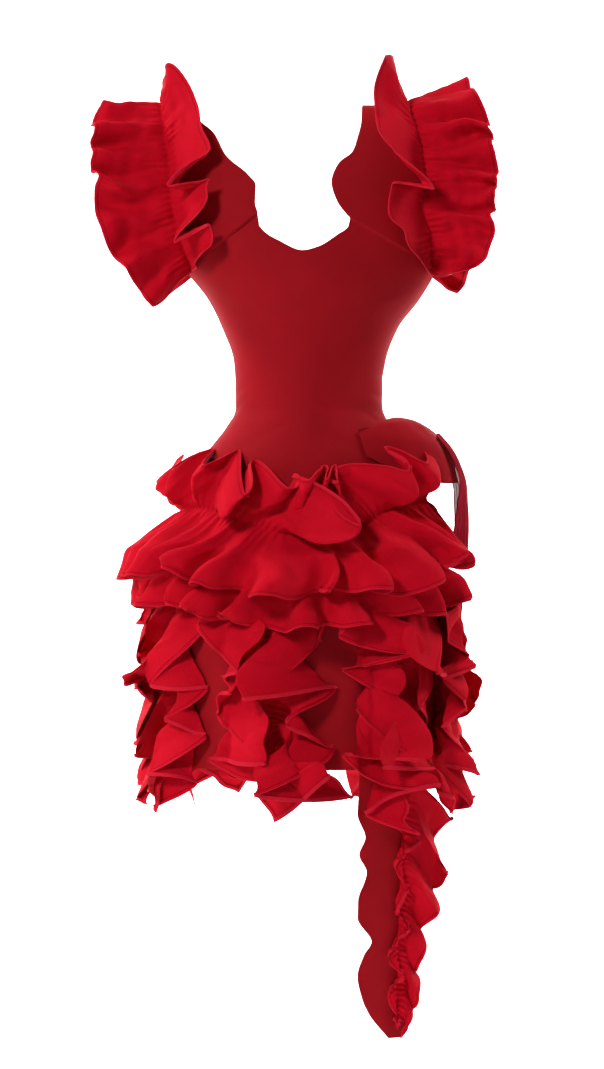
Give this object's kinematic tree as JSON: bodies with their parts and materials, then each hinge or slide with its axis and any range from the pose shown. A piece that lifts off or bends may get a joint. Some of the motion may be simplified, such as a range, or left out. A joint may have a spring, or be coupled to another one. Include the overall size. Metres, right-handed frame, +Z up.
{
  "type": "tiered ruffle dress",
  "caption": "Fitted sleeveless mini dress with gathered ruffles on the shoulders, hips and skirt, a net side drape and a ruffled tail; worn, hollow.",
  "frame": {"origin": "middle of the line between the two shoulder seams, where the wearer's shoulders carry the dress", "axes": "+Z up along the body, -Y is the front of the dress, +X is the wearer's left"},
  "size_m": [0.5976, 0.4374, 1.3196],
  "materials": {
    "crepe": "smooth matte crepe, deep red",
    "poplin": "matte cotton poplin with narrow hemmed edges, bright red",
    "net": "sheer gathered net, pinkish red"
  },
  "bodies": {
    "root": {"bodice_front": "crepe", "bodice_back_left": "crepe", "bodice_back_right": "crepe", "skirt_front": "crepe", "skirt_back": "crepe", "hip_drape": "crepe", "tail_panel": "crepe", "hip_ruffle_upper_front": "poplin", "hip_ruffle_upper_back": "poplin", "hip_ruffle_lower_front": "poplin", "hip_ruffle_lower_back": "poplin", "strip_side_left": "poplin", "strip_centre_left": "poplin", "strip_centre_right": "poplin", "strip_side_right": "poplin", "strip_back_far_left": "poplin", "strip_back_left": "poplin", "strip_back_right": "poplin", "strip_back_far_right": "poplin", "tail_ruffle": "poplin", "shoulder_ruffle_left": "poplin", "shoulder_ruffle_right": "poplin", "net_drape": "net"}
  },
  "joints": []
}
